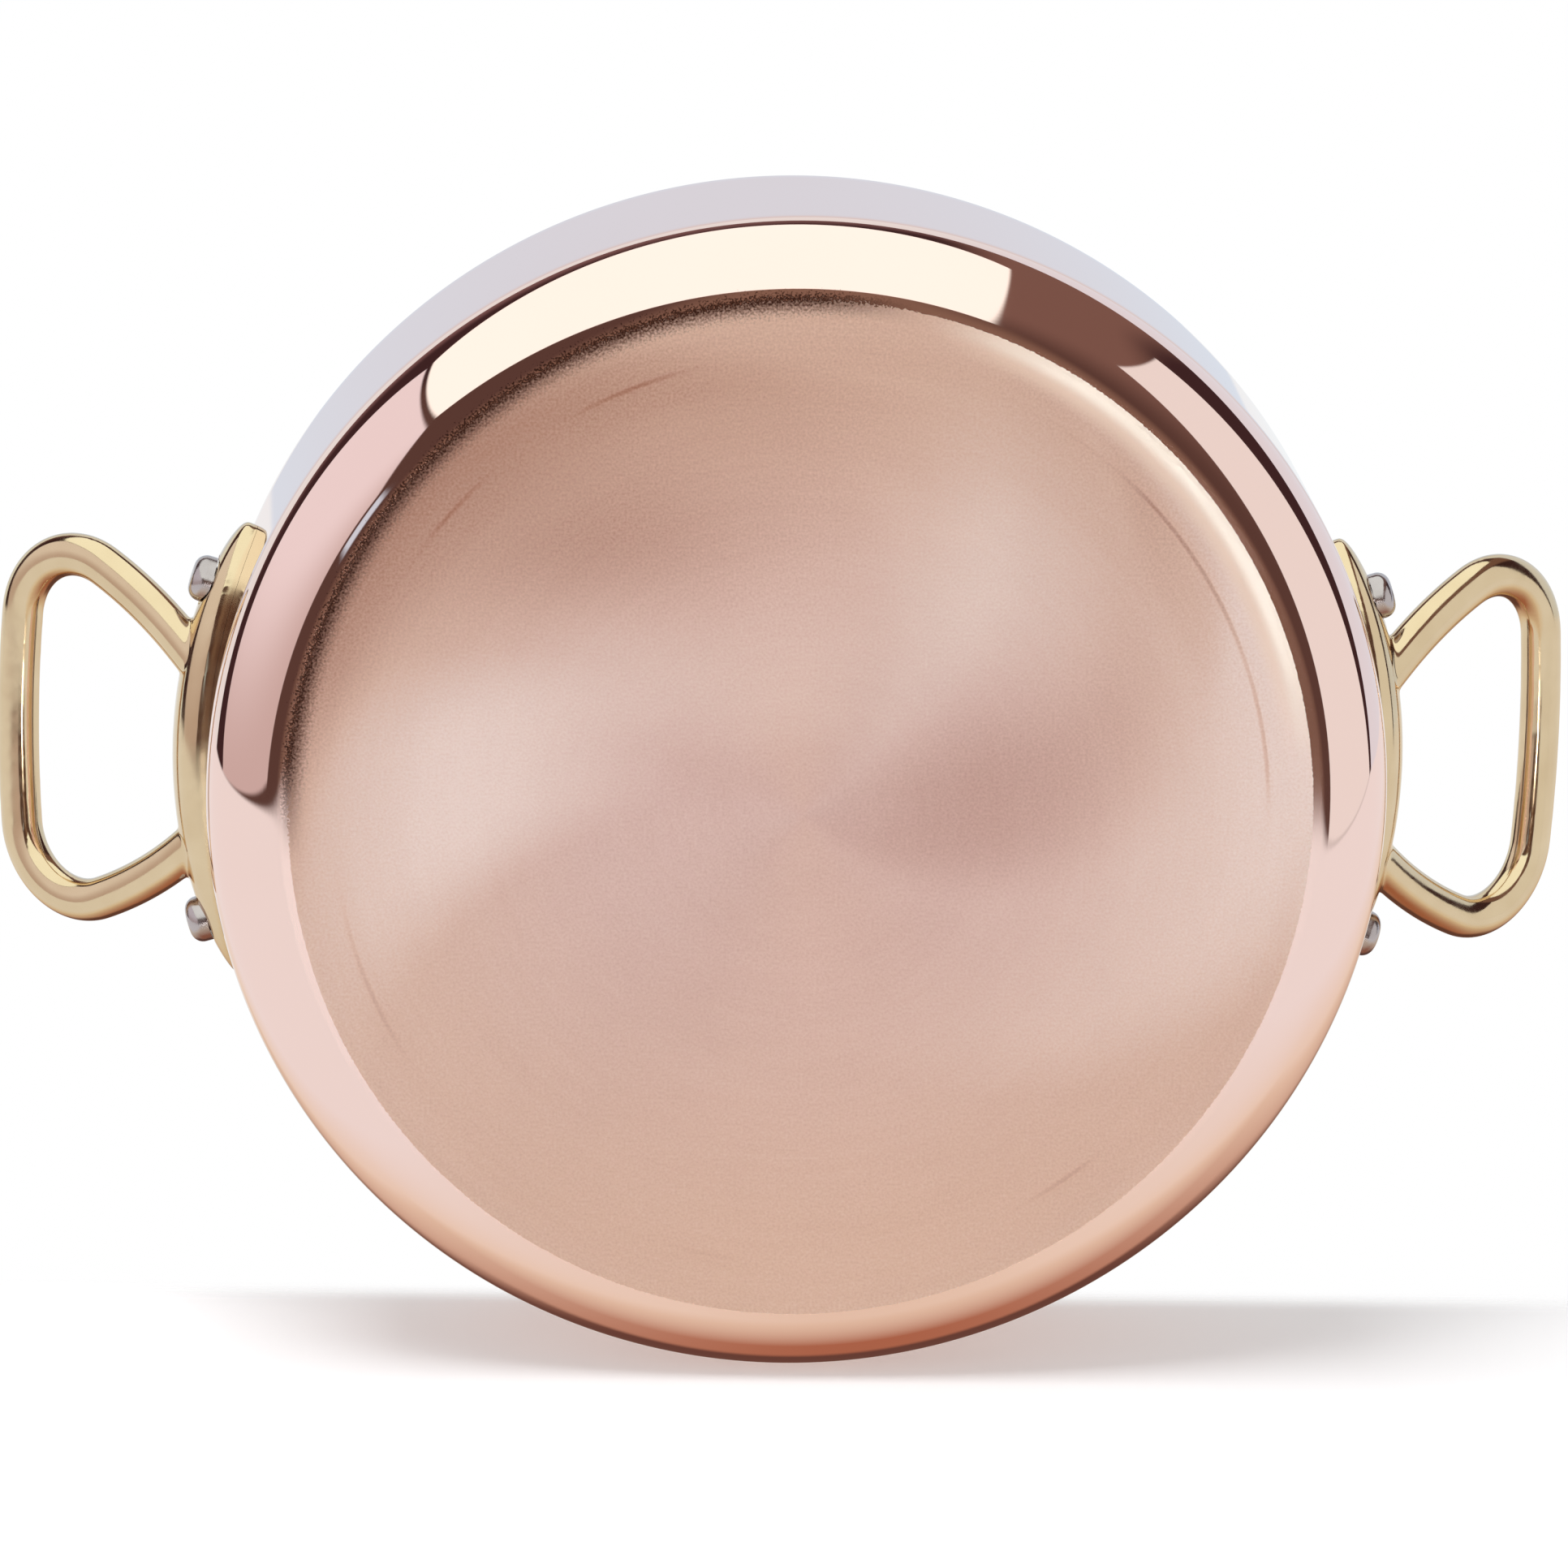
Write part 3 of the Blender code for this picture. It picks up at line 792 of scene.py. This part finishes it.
for step in range(HEAD_STEPS):
    angle = pi / 2 * step / HEAD_STEPS
    next_width = CLOSED_HEAD_RADIUS * cos(angle)
    shrink = next_width / width
    bpy.ops.transform.resize(value=(shrink, shrink, 1.0), center_override=(0.0, 0.0, 0.0))
    width = next_width
    drop = CLOSED_HEAD_HEIGHT * (sin(angle + pi / 2 / HEAD_STEPS) - sin(angle))
    bpy.ops.mesh.extrude_region_move(TRANSFORM_OT_translate={"value": (0.0, 0.0, -drop)})
bpy.ops.mesh.merge(type="COLLAPSE")
bpy.ops.object.mode_set(mode="OBJECT")
bpy.ops.object.shade_smooth_by_angle(angle=SMOOTH_ANGLE)
pattern_rivet.data.materials.append(make_rivet_steel())

for node, (side, end) in rivet_places.items():
    rivet = pattern_rivet.copy()
    rivet.data = pattern_rivet.data.copy()
    rivet.name = node.replace("_rivet", "_turned_rivet")
    rivet.data.name = rivet.name
    bpy.context.scene.collection.objects.link(rivet)
    rivet.data.transform(rivet_frame(side, end))
    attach(rivet, "root")
    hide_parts(node)
bpy.data.objects.remove(pattern_rivet)

# Studio
# The pan is pictured on its edge, from beneath, on a white table. Around it stand pale panels
# with dark gaps between them. They are painted in the world's light, where only reflections
# see them, and each colour has its place by direction alone.
CREAM = (1.20, 1.32, 1.27)
PINK_DIM = (0.62, 0.535, 0.53)
PINK = (0.88, 0.87, 0.92)
PALE_PINK = (0.88, 0.92, 0.92)
TABLE_WHITE = (0.89, 0.93, 0.95)
TABLE_PEACH = (0.84, 0.76, 0.62)
TABLE_ORANGE = (0.42, 0.17, 0.10)
TABLE_CONTACT = (0.14, 0.065, 0.050)
DARK_ROOM = (0.050, 0.024, 0.026)
GAP_BROWN = (0.205, 0.120, 0.098)
NEAR_DARK = (0.105, 0.058, 0.048)
NEAR_BROWN = (0.24, 0.15, 0.11)
NEAR_LAMP = (14.0, 14.0, 13.5)
BACK_WHITE = (0.84, 0.93, 0.95)
BACK_COOL = (0.78, 0.88, 0.98)
BACK_BROWN = (0.20, 0.115, 0.115)
BACK_MAUVE = (0.42, 0.34, 0.33)
ROSE = (0.74, 0.75, 0.77)
LAVENDER = (0.71, 0.80, 0.90)
GLINT = (0.66, 0.84, 1.00)
PLAIN_LIGHT = (0.5, 0.5, 0.5, 1.0)
PAPER_WHITE = (1.0, 1.0, 1.0, 1.0)

# Directions in the studio. The pan is pictured from one side of its axis, and VIEW lies as far
# on the other side, so it is what the middle of the flat base mirrors. The last three point
# from VIEW to the table, into the gap beside the cream panel, and across a brown strip
UP = (0.0, 0.0, 1.0)
BACK = (0.0, 1.0, 0.0)
LEFT = (-1.0, 0.0, 0.0)
VIEW_TURN = -103.2
VIEW_LIFT = -75.3
VIEW = heading(VIEW_TURN, VIEW_LIFT)
TABLE_SIDE = heading(-99.5, 14.5)
GAP_SIDE = heading(-160, 0.5)
STRIP_SIDE = heading(180, 3.5)

# Panels. Each lies inside straight edges, in rows of (turn, lift, start), all in degrees: the
# direction that the edge faces, and how far past square to it the panel starts. A second edge
# in a row is an alternative to the first
EDGE_SOFTNESS = 0.010
top_panel = [
    [(20, -0.5, -7.5)],
    [(124, 57.5, -49.5)],
    [(134, -4.5, -2)],
    [(80.5, -5.5, 47.5), (0, -90, -15)],
]
left_panel = [
    [(-46, 4.5, 3)],
    [(-49.5, 48.5, -37.5)],
    [(88, -3, -10)],
    [(VIEW_TURN + 180, -VIEW_LIFT, -68.5)],
    [(16.5, -6.5, 57.5), (0, -90, -11)],
]
right_panel = [
    [(-142.5, 60.5, -37.5)],
    [(-141, -1.5, 8.5)],
    [(-165, -83, 5.5)],
    [(96.5, -9.5, -4)],
]
table = [
    [(-91, 3.5, 11)],
    [(-83.5, 9.5, 4)],
]
glint_strip = [
    [(VIEW_TURN, VIEW_LIFT, 71.5)],
    [(VIEW_TURN + 180, -VIEW_LIFT, -78.5)],
    [(-53, 9.5, 0)],
    [(119.5, -11, 0)],
]
back_wall = [[(-115.5, 60.5, 21.5)]]
background = [[(0, 90, 62)]]

# Soft changes between two colours, each from where it begins to where it is full: heights
# along the direction that it runs in, from -1 to 1, or shares of the shade
BROWN_FROM, BROWN_TO = 0.55, 0.78
MAUVE_FROM, MAUVE_TO = 0.75, 0.95
PINK_FROM, PINK_TO = -0.22, 0.26
UNDER_FROM, UNDER_TO = 0.56, 1.0
DEEP_FROM, DEEP_TO = 0.96, 0.38
FAR_FROM, FAR_TO = -0.86, -0.65
PEACH_FROM, PEACH_TO = 0.0, 0.45
ORANGE_FROM, ORANGE_TO = 0.35, 1.0
CONTACT_FROM, CONTACT_TO = 0.84, 0.97
EDGE_ON_FROM, EDGE_ON_TO = 0.02, -0.22
STRIP_EDGE, STRIP_CORE = 0.14, 0.02
STRIP_FROM, STRIP_TO = -0.80, -0.92
GAP_FROM, GAP_TO = -0.02, 0.14
GAP_END, GAP_LAST = 0.50, 0.36
GAP_BACK_FROM, GAP_BACK_TO = -0.10, 0.45
GAP_HIGH_END, GAP_HIGH_LAST = 0.90, 0.60
ROOM_FROM, ROOM_TO = -0.40, 0.10
COOL_FROM, COOL_TO = 0.15, 0.45
LAVENDER_FROM, LAVENDER_TO = 0.90, 0.96

# Shade of the table at its near end, and what its depth adds
NEAR_SHADE = 0.40
DEEP_SHADE = 0.60

# The lamp at VIEW, which the brushed base mirrors as a broad sheen: its size, in degrees
LAMP_EDGE = 2.8
LAMP_CORE = 1.6

world = bpy.data.worlds.new("studio")
bpy.context.scene.world = world
world.use_nodes = True
tree = world.node_tree
tree.nodes.clear()
direction = grow(tree, "ShaderNodeTexCoord", {}).outputs["Generated"]


def inside(edges):
    """How far a direction lies inside a panel, from 0 to 1."""
    share = None
    for choices in edges:
        reach = None
        for turn, lift, start in choices:
            past = maths(tree, "SUBTRACT", along(tree, direction, heading(turn, lift)), sin(radians(start)))
            reach = past if reach is None else maths(tree, "MAXIMUM", reach, past)
        step = fade(tree, reach, -EDGE_SOFTNESS / 2, EDGE_SOFTNESS / 2)
        share = step if share is None else maths(tree, "MULTIPLY", share, step)
    return share


def slope(towards, start, end):
    """Soft change from 0 to 1 across the studio, from one height along a direction to another."""
    return fade(tree, along(tree, direction, towards), start, end)


# Dim room behind the panels, with a brown gap beside the cream one and a brown strip near VIEW
far = blend_colours(tree, slope(UP, BROWN_FROM, BROWN_TO), DARK_ROOM, BACK_BROWN)
far = blend_colours(tree, slope(UP, MAUVE_FROM, MAUVE_TO), far, BACK_MAUVE)
room = blend_colours(tree, slope(UP, ROOM_FROM, ROOM_TO), NEAR_DARK, far)
gap = maths(tree, "MULTIPLY", slope(GAP_SIDE, GAP_FROM, GAP_TO), slope(GAP_SIDE, GAP_END, GAP_LAST))
gap = maths(tree, "MULTIPLY", gap, slope(BACK, GAP_BACK_FROM, GAP_BACK_TO))
gap = maths(tree, "MULTIPLY", gap, slope(UP, GAP_HIGH_END, GAP_HIGH_LAST))
room = blend_colours(tree, gap, room, GAP_BROWN)
off_strip = maths(tree, "ABSOLUTE", along(tree, direction, STRIP_SIDE))
strip = fade(tree, off_strip, STRIP_EDGE, STRIP_CORE)
strip = maths(tree, "MULTIPLY", strip, slope(UP, STRIP_FROM, STRIP_TO))
mirrored = blend_colours(tree, strip, room, NEAR_BROWN)

# White table, with painted shade in peach and orange where the pan shades it, and a painted
# contact shadow where the pan stands on it
along_view = vector_maths(tree, "PROJECT", "Vector", direction, VIEW)
off_view = vector_maths(tree, "SUBTRACT", "Vector", direction, along_view)
towards_table = along(tree, vector_maths(tree, "NORMALIZE", "Vector", off_view), TABLE_SIDE)
under = fade(tree, towards_table, UNDER_FROM, UNDER_TO, shape="LINEAR")
deep = fade(tree, along(tree, direction, VIEW), DEEP_FROM, DEEP_TO, shape="LINEAR")
far_end = slope(VIEW, FAR_FROM, FAR_TO)
shade = maths(tree, "MULTIPLY", under, maths(tree, "MULTIPLY_ADD", deep, DEEP_SHADE, NEAR_SHADE))
shade = maths(tree, "MULTIPLY", shade, far_end)
peach = fade(tree, shade, PEACH_FROM, PEACH_TO, shape="LINEAR")
orange = fade(tree, shade, ORANGE_FROM, ORANGE_TO, shape="LINEAR")
table_top = blend_colours(tree, peach, TABLE_WHITE, TABLE_PEACH)
table_top = blend_colours(tree, orange, table_top, TABLE_ORANGE)
contact = fade(tree, towards_table, CONTACT_FROM, CONTACT_TO)
contact = maths(tree, "MULTIPLY", contact, slope(VIEW, EDGE_ON_FROM, EDGE_ON_TO))
contact = maths(tree, "MULTIPLY", contact, far_end)
table_top = blend_colours(tree, contact, table_top, TABLE_CONTACT)

# Panels over the room, the later over the earlier, and the lamp over all of them
wall_white = blend_colours(tree, slope(LEFT, COOL_FROM, COOL_TO), BACK_WHITE, BACK_COOL)
backdrop = blend_colours(tree, slope(UP, LAVENDER_FROM, LAVENDER_TO), ROSE, LAVENDER)
pink = blend_colours(tree, slope(BACK, PINK_FROM, PINK_TO), PINK_DIM, PINK)
for edges, colour in (
    (back_wall, wall_white),
    (background, backdrop),
    (top_panel, CREAM),
    (left_panel, pink),
    (right_panel, PALE_PINK),
    (table, table_top),
    (glint_strip, GLINT),
):
    mirrored = blend_colours(tree, inside(edges), mirrored, colour)
lamp_share = slope(VIEW, cos(radians(LAMP_EDGE)), cos(radians(LAMP_CORE)))
mirrored = blend_colours(tree, lamp_share, mirrored, NEAR_LAMP)

# Reflections see the panels, the camera sees white, and all else is lit by an even grey
rays = grow(tree, "ShaderNodeLightPath", {}).outputs
plain = grow(tree, "ShaderNodeBackground", {"Color": PLAIN_LIGHT, "Strength": 1.0}).outputs[0]
pattern = grow(tree, "ShaderNodeBackground", {"Color": mirrored, "Strength": 1.0}).outputs[0]
white = grow(tree, "ShaderNodeBackground", {"Color": PAPER_WHITE, "Strength": 1.0}).outputs[0]
mirror_ray = maths(tree, "MAXIMUM", rays["Is Glossy Ray"], rays["Is Transmission Ray"])
lit = grow(tree, "ShaderNodeMixShader", {0: mirror_ray, 1: plain, 2: pattern}).outputs[0]
seen = grow(tree, "ShaderNodeMixShader", {0: rays["Is Camera Ray"], 1: lit, 2: white}).outputs[0]
grow(tree, "ShaderNodeOutputWorld", {"Surface": seen})

# Floors
# Two sheets of white paper: one under the pan's edge, as it is pictured, which ends a little
# behind the base, and one under the base, for the other views. Both end softly.
FLOOR_DROP = 0.0002
FLOOR_SIZE = 4.0
FLOOR_END = 0.48
EDGE_FLOOR_TOP = 0.048
EDGE_FLOOR_SOFTNESS = 0.006
FLOOR_COLOUR = (0.86, 0.86, 0.87, 1.0)
FLOOR_GLOW = 0.22


def make_floor_white():
    """White that keeps shadows and ends softly. Its back is clear, to look at the pan from beneath."""
    material = bpy.data.materials.new("floor_white")
    material.use_nodes = True
    tree = material.node_tree
    tree.nodes.clear()
    matt = grow(tree, "ShaderNodeBsdfDiffuse", {"Color": FLOOR_COLOUR}).outputs[0]
    rays = grow(tree, "ShaderNodeLightPath", {})
    lift = maths(tree, "MULTIPLY", rays.outputs["Is Camera Ray"], FLOOR_GLOW)
    glow = grow(tree, "ShaderNodeEmission", {"Color": PAPER_WHITE, "Strength": lift}).outputs[0]
    front = grow(tree, "ShaderNodeAddShader", {0: matt, 1: glow}).outputs[0]
    clear = grow(tree, "ShaderNodeBsdfTransparent", {}).outputs[0]
    place = grow(tree, "ShaderNodeTexCoord", {}).outputs["Object"]
    near = fade(tree, vector_maths(tree, "LENGTH", "Value", place), FLOOR_END, FLOOR_END / 2)
    height = grow(tree, "ShaderNodeSeparateXYZ", {0: place}).outputs[2]
    top, bottom = EDGE_FLOOR_TOP + EDGE_FLOOR_SOFTNESS, EDGE_FLOOR_TOP - EDGE_FLOOR_SOFTNESS
    near = maths(tree, "MULTIPLY", near, fade(tree, height, top, bottom))
    facing = maths(tree, "SUBTRACT", 1.0, grow(tree, "ShaderNodeNewGeometry", {}).outputs["Backfacing"])
    shown = maths(tree, "MULTIPLY", near, facing)
    both = grow(tree, "ShaderNodeMixShader", {0: shown, 1: clear, 2: front}).outputs[0]
    grow(tree, "ShaderNodeOutputMaterial", {"Surface": both})
    return material


floor_white = make_floor_white()


def lay_floor(name, place):
    """Sheet seen only by the camera, so that the metal mirrors the studio and not the sheet."""
    bpy.ops.object.select_all(action="DESELECT")
    bpy.ops.mesh.primitive_plane_add(size=FLOOR_SIZE)
    sheet = start_piece(name)
    sheet.data.transform(place)
    sheet.data.materials.append(floor_white)
    sheet.visible_glossy = False
    sheet.visible_diffuse = False
    sheet.visible_transmission = False
    sheet.visible_shadow = False


under_edge = Matrix.Translation((0.0, -WALL_RADIUS - FLOOR_DROP, 0.0))
lay_floor("floor", Matrix.Translation((0.0, 0.0, -FLOOR_DROP)))
lay_floor("edge_floor", under_edge @ Matrix.Rotation(-pi / 2, 4, "X"))

# Softboxes
# Two square lamps, one above each floor. They throw the pan's soft shadow, and the metal
# doesn't mirror them.
SOFTBOX_WIDTH = 0.9
SOFTBOX_POWER = 18.0
OVERHEAD_PLACE = (0.25, -0.25, 1.6)
EDGE_PLACE = (0.35, 1.6, -0.30)

for name, place in (("overhead_softbox", OVERHEAD_PLACE), ("edge_softbox", EDGE_PLACE)):
    lamp = bpy.data.lights.new(name, "AREA")
    lamp.shape = "SQUARE"
    lamp.size = SOFTBOX_WIDTH
    lamp.energy = SOFTBOX_POWER
    softbox = bpy.data.objects.new(name, lamp)
    bpy.context.scene.collection.objects.link(softbox)
    softbox.location = place
    softbox.rotation_euler = Vector(place).to_track_quat("Z", "Y").to_euler()
    softbox.visible_glossy = False

# Camera
# A long lens stands 1.4 m from the pan, beneath its base and a little behind its middle, so the
# base faces it and the handles lie level to each side.
CAMERA_PLACE = (0.0842, 0.3513, -1.3526)
CAMERA_TURN = (165.5899, 3.02816, 178.44295)
SENSOR_WIDTH = 36.0
LENS = 191.637
NEAREST = 0.01

camera = bpy.data.cameras.new("camera")
camera.sensor_width = SENSOR_WIDTH
camera.lens = LENS
camera.clip_start = NEAREST
viewpoint = bpy.data.objects.new("camera", camera)
bpy.context.scene.collection.objects.link(viewpoint)
viewpoint.location = CAMERA_PLACE
viewpoint.rotation_euler = [radians(angle) for angle in CAMERA_TURN]
bpy.context.scene.camera = viewpoint
bpy.context.scene.view_settings.view_transform = "Standard"
